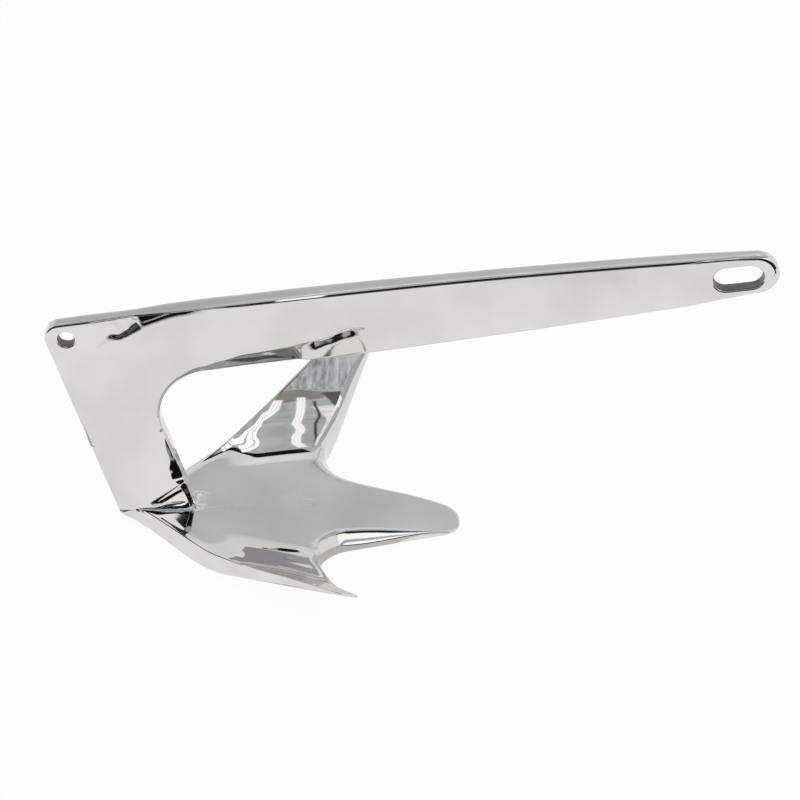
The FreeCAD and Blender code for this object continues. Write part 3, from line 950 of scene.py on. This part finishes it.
# cards just over the floor: x from and to, y from and to, height
floorCards = {
    "noseShade": ((-0.12, 0.13), (-0.14, -0.03), 0.0006),
    "floorFade": ((-1.6, 0.2), (-0.575, -0.37), 0.0008),
}
# colour under the centre claw, and the darkest level of the floor in front, which darkens away from the anchor
floorShade = {"nose": "#D9D2CE", "darkest": 0.36}
# windows, edges and rooms in front of the dark room, as corners (x, height), each a step nearer to the anchor;
# white ones glow brighter
patchStep = 0.002
windowLevel = 1.4
sidePatches = {
    "sideWindow": (
        ((0.26, 0.47), (0.50, 0.53), (1.45, 0.78), (1.45, 1.55), (0.64, 0.90), (0.45, 0.71), (0.26, 0.61)),
        "#FFFFFF",
    ),
    "sideBeam": (
        ((0.26, 0.60), (0.45, 0.70), (0.64, 0.89), (1.45, 1.54), (1.45, 1.80), (0.64, 1.25), (0.45, 1.0), (0.26, 0.88)),
        "#1B2544",
    ),
    "sideSky": (
        ((0.26, 0.505), (0.50, 0.575), (1.45, 0.84), (1.45, 0.92), (0.50, 0.61), (0.26, 0.535)),
        "#B4C0E2",
    ),
    "rimWindow": (
        ((-0.20, 0.33), (-0.145, 0.33), (-0.22, 0.74), (-0.40, 1.5), (-0.49, 1.5), (-0.28, 0.72)),
        "#FFFFFF",
    ),
    "rootLight": (((-0.38, 0.28), (-0.24, 0.28), (-0.24, 0.395), (-0.285, 0.415), (-0.38, 0.453)), "#FFFFFF"),
    "tableEdge": (((-2.5, 0.058), (0.24, 0.058), (0.24, 0.072), (-2.5, 0.072)), "#B9BDBF"),
    "farRoom": (((-2.5, 0.17), (0.24, 0.17), (0.24, 0.27), (-2.5, 0.27)), "#5E6264"),
}
# shapes a little way in front of the wall behind, as corners (x, height)
wallGap = 0.02
backPatches = {
    "lowBench": (
        (
            (-0.37, 0.0), (0.10, 0.0), (0.10, 0.37), (0.02, 0.37), (-0.09, 0.42), (-0.25, 0.41), (-0.27, 0.31),
            (-0.37, 0.28),
        ),
        "#A19EA7",
    ),
    "wallPlate": (
        (
            (-0.04, 1.328), (-0.02, 1.32), (0.05, 1.312), (0.075, 1.322), (0.10, 1.334), (0.14, 1.3375),
            (0.145, 1.3415), (0.10, 1.349), (0.065, 1.3445), (0.03, 1.344), (-0.01, 1.336),
        ),
        "#858887",
    ),
    "benchLamp": (
        ((-0.13, 0.44), (-0.05, 0.53), (-0.01, 0.64), (-0.02, 0.72), (-0.08, 0.66), (-0.13, 0.52)),
        "#0E0E10",
    ),
    "benchGlint": (((-0.115, 0.50), (-0.085, 0.55), (-0.085, 0.61), (-0.115, 0.55)), "#FFFFFF"),
}
# cards overhead: corners, colour, level, or highest and lowest level with the scale and warp of the drift between
# them, and how many steps they hang below the ceiling
overheadCards = {
    "ceiling": (((-1.7, -1.4), (1.7, -1.4), (1.7, 1.08), (-1.7, 1.08)), "#EEF6F6", (0.74, 0.52, 4.0, 1.0), 0),
    "clutter": (((0.24, -0.60), (1.3, -0.60), (1.3, -0.12), (0.27, -0.12)), "#E8EFF2", (1.1, 0.08, 34.0, 3.5), 1),
    "smallWindow": (((0.27, 0.16), (0.62, 0.16), (0.42, 0.97), (0.20, 0.97)), "#FFFFFF", (1.35, 0.9, 5.0), 1),
    "softLight": (((-1.15, -0.80), (-0.30, -0.80), (-0.30, -0.22), (-1.15, -0.22)), "#E4ECFF", (1.2, 0.25, 6.0), 1),
    "rightDark": (((0.8, -1.35), (1.6, -1.35), (1.6, -0.42), (0.8, -0.42)), "#1A2238", (1.0,), 1),
    "beamShadow": (
        ((-0.34, -0.13), (0.17, -0.13), (0.18, -0.02), (-0.34, -0.02)),
        "#8E8E8E",
        (0.9, 0.02, 26.0, 2.5),
        1,
    ),
    "lampBox": (
        ((0.17, -0.17), (0.30, -0.17), (0.36, -0.09), (0.42, -0.05), (0.34, 0.05), (0.17, 0.05)),
        "#A7A19B",
        (1.0, 0.8, 12.0),
        2,
    ),
    "sideFill": (((0.45, 0.02), (0.85, 0.02), (0.85, 0.19), (0.45, 0.19)), "#F2F5F6", (1.6,), 2),
    "lampShade": (((0.36, -0.05), (0.46, -0.05), (0.45, 0.10), (0.37, 0.24)), "#6A6864", (1.0,), 3),
}
# the ceiling's height and the step between cards, then what hangs as bent strips, as colour, level and steps down,
# and its points with its width there
overhead = {
    "height": 1.6,
    "step": 0.004,
    # lamps of three tubes, and how far apart the tubes are in widths
    "tubeGlow": ("#FFFFFF", 1.5, 4),
    "tubeSpacing": 1.25,
    "tubes": (
        (
            (-0.56, 1.04, 0.085), (-0.36, 0.82, 0.070), (-0.16, 0.71, 0.050), (0.0, 0.41, 0.026), (0.11, 0.15, 0.013),
            (0.17, 0.0, 0.010),
        ),
        ((0.08, 1.0, 0.011), (0.075, 0.82, 0.011), (0.125, 0.60, 0.010), (0.21, 0.22, 0.010), (0.265, 0.0, 0.010)),
    ),
    "cableGlow": ("#0C0D10", 1.0, 5),
    "cable": ((0.13, 1.0, 0.012), (0.15, 0.86, 0.012), (0.20, 0.66, 0.012), (0.30, 0.08, 0.012)),
}


def cardPaint(name, colour, level=1.0, low=None, scale=3.0, warp=0.0):
    # plain glow, or a glow that drifts between two levels
    material, tree = newTree(name + "Card")
    glow = addNode(tree, "ShaderNodeEmission", {"Color": linear(colour), "Strength": level})
    if low is not None:
        place = addNode(tree, "ShaderNodeTexCoord").outputs["Object"]
        drift = addNode(
            tree, "ShaderNodeTexNoise", {"Scale": scale, "Detail": 3.0, "Distortion": warp}, {"Vector": place}
        )
        share = addNode(
            tree,
            "ShaderNodeMapRange",
            {"From Min": noiseRange[0], "From Max": noiseRange[1], "To Min": low, "To Max": level},
            {"Value": drift.outputs["Fac"]},
        )
        tree.links.new(share.outputs["Result"], glow.inputs["Strength"])
    addNode(tree, "ShaderNodeOutputMaterial", links={"Surface": glow.outputs[0]})
    return material


def makeCard(name, corners, paint):
    bm = bmesh.new()
    bm.faces.new([bm.verts.new(corner) for corner in corners])
    card = toObject(bm, name)
    card.data.materials.append(paint)
    card.visible_camera = False
    card.visible_diffuse = False
    card.visible_shadow = False


def uprightCard(name, paint=None):
    (left, right, y, low, high), colour = cards[name]
    corners = ((left, y, low), (right, y, low), (right, y, high), (left, y, high))
    makeCard(name, corners, paint or cardPaint(name, colour))


def floorCard(name, paint):
    (left, right), (near, far), height = floorCards[name]
    makeCard(name, [(left, near, height), (right, near, height), (right, far, height), (left, far, height)], paint)


def overheadCard(name, corners, paint, drop):
    height = overhead["height"] - drop * overhead["step"]
    makeCard(name, [(x, y, height) for x, y in corners], paint)


def overheadRun(name, points, paint, drop, row=0):
    # a bent strip, or a row beside it further out
    places = [Vector(point[:2]) for point in points]
    sides = []
    for index in range(len(places)):
        along = places[min(index + 1, len(places) - 1)] - places[max(index - 1, 0)]
        sides.append(Vector((-along.y, along.x)).normalized() * points[index][2])
    middle = overhead["tubeSpacing"] * row
    left = [place + side * (middle - 0.5) for place, side in zip(places, sides)]
    right = [place + side * (middle + 0.5) for place, side in zip(places, sides)]
    for index in range(len(places) - 1):
        corners = (left[index], left[index + 1], right[index + 1], right[index])
        overheadCard(name + str(index), corners, paint, drop)


def backWallPaint():
    # lighter towards its top and foot and to the right, with a slow drift
    material, tree = newTree("backWallCard")
    place = addNode(tree, "ShaderNodeTexCoord").outputs["Object"]
    parts = addNode(tree, "ShaderNodeSeparateXYZ", links={"Vector": place})
    away = addNode(
        tree, "ShaderNodeMath", {"operation": "SUBTRACT", 1: wallGlow["darkest"]}, {0: parts.outputs["Z"]}
    )
    away = addNode(tree, "ShaderNodeMath", {"operation": "ABSOLUTE"}, {0: away.outputs[0]})
    (near, far), (darkest, lightest) = wallGlow["fade"], wallGlow["level"]
    level = addNode(
        tree,
        "ShaderNodeMapRange",
        {"interpolation_type": "SMOOTHSTEP", "From Min": near, "From Max": far, "To Min": darkest, "To Max": lightest},
        {"Value": away.outputs[0]},
    )
    noise = addNode(tree, "ShaderNodeTexNoise", {"Scale": wallGlow["driftScale"], "Detail": 1.0}, {"Vector": place})
    least, most = wallGlow["driftRange"]
    drift = addNode(
        tree,
        "ShaderNodeMapRange",
        {"From Min": least, "From Max": most, "To Min": -wallGlow["drift"], "To Max": wallGlow["drift"]},
        {"Value": noise.outputs["Fac"]},
    )
    left, right = wallGlow["tiltReach"]
    tilt = addNode(
        tree,
        "ShaderNodeMapRange",
        {"From Min": left, "From Max": right, "To Min": -wallGlow["tilt"], "To Max": wallGlow["tilt"]},
        {"Value": parts.outputs["X"]},
    )
    total = level.outputs["Result"]
    for change in (drift, tilt):
        both = addNode(tree, "ShaderNodeMath", {"operation": "ADD"}, {0: total, 1: change.outputs["Result"]})
        total = both.outputs[0]
    glow = addNode(tree, "ShaderNodeEmission", {"Color": linear(cards["backWall"][1])}, {"Strength": total})
    addNode(tree, "ShaderNodeOutputMaterial", links={"Surface": glow.outputs[0]})
    return material


def floorFadePaint():
    # as bright as the floor near the anchor, darker towards the camera
    _, (near, far), _ = floorCards["floorFade"]
    fade = {"From Min": near, "From Max": far, "To Min": floorShade["darkest"], "To Max": studio["floorGlow"]}
    material, tree = newTree("floorFadeCard")
    place = addNode(tree, "ShaderNodeTexCoord").outputs["Object"]
    parts = addNode(tree, "ShaderNodeSeparateXYZ", links={"Vector": place})
    level = addNode(
        tree, "ShaderNodeMapRange", {"interpolation_type": "SMOOTHSTEP", **fade}, {"Value": parts.outputs["Y"]}
    )
    glow = addNode(tree, "ShaderNodeEmission", {"Color": (1, 1, 1, 1)}, {"Strength": level.outputs["Result"]})
    addNode(tree, "ShaderNodeOutputMaterial", links={"Surface": glow.outputs[0]})
    return material


def makeStudio():
    makeWorld()
    bm = bmesh.new()
    bmesh.ops.create_grid(bm, x_segments=1, y_segments=1, size=studio["floorSize"] / 2)
    floor = toObject(bm, "studioFloor")
    floor.data.materials.append(floorPaint())
    uprightCard("backWall", backWallPaint())
    for name in ("backGap", "backHigh", "backHighLeft", "darkRoom", "sideRoom"):
        uprightCard(name)
    for index, (name, (corners, colour)) in enumerate(sidePatches.items()):
        y = cards["darkRoom"][0][2] + patchStep * (index + 1)
        level = windowLevel if colour == "#FFFFFF" else 1.0
        makeCard(name, [(x, y, height) for x, height in corners], cardPaint(name, colour, level))
    for index, (name, (corners, colour)) in enumerate(backPatches.items()):
        y = cards["backWall"][0][2] - wallGap - patchStep * index
        makeCard(name, [(x, y, height) for x, height in corners], cardPaint(name, colour))
    floorCard("noseShade", cardPaint("noseShade", floorShade["nose"]))
    floorCard("floorFade", floorFadePaint())
    for name, (corners, colour, levels, drop) in overheadCards.items():
        overheadCard(name, corners, cardPaint(name, colour, *levels), drop)
    colour, level, drop = overhead["tubeGlow"]
    tubePaint = cardPaint("tube", colour, level)
    for index, points in enumerate(overhead["tubes"]):
        for row in (-1, 0, 1):
            overheadRun(f"tube{index}Row{row + 1}", points, tubePaint, drop, row)
    colour, level, drop = overhead["cableGlow"]
    overheadRun("cableRun", overhead["cable"], cardPaint("cable", colour, level), drop)
    lamp = bpy.data.lights.new("softOverheadLamp", "AREA")
    lamp.energy = studio["lampPower"]
    lamp.size = studio["lampSize"]
    lampObject = bpy.data.objects.new("softOverheadLamp", lamp)
    lampObject.location = studio["lampPlace"]
    lampObject.rotation_euler = studio["lampTurn"]
    lampObject.visible_glossy = False
    bpy.context.scene.collection.objects.link(lampObject)
    print("studio", len(bpy.data.materials), "materials")


def makeCamera():
    camera = bpy.data.objects.new("photoCamera", bpy.data.cameras.new("photoCamera"))
    camera.data.lens = studio["lens"]
    camera.data.sensor_width = studio["sensor"]
    camera.data.clip_end = studio["farClip"]
    camera.location = Vector(studio["cameraPlace"]) * mm
    camera.rotation_euler = Vector(studio["cameraLook"]).to_track_quat("-Z", "Y").to_euler()
    bpy.context.scene.collection.objects.link(camera)
    bpy.context.scene.camera = camera
    print("camera", studio["lens"], "mm")


anchor = makeAnchor()
dressAnchor(anchor)
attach(anchor, "root")
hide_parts("claw_anchor")
makeStudio()
makeCamera()
bpy.context.scene.view_settings.view_transform = "Standard"
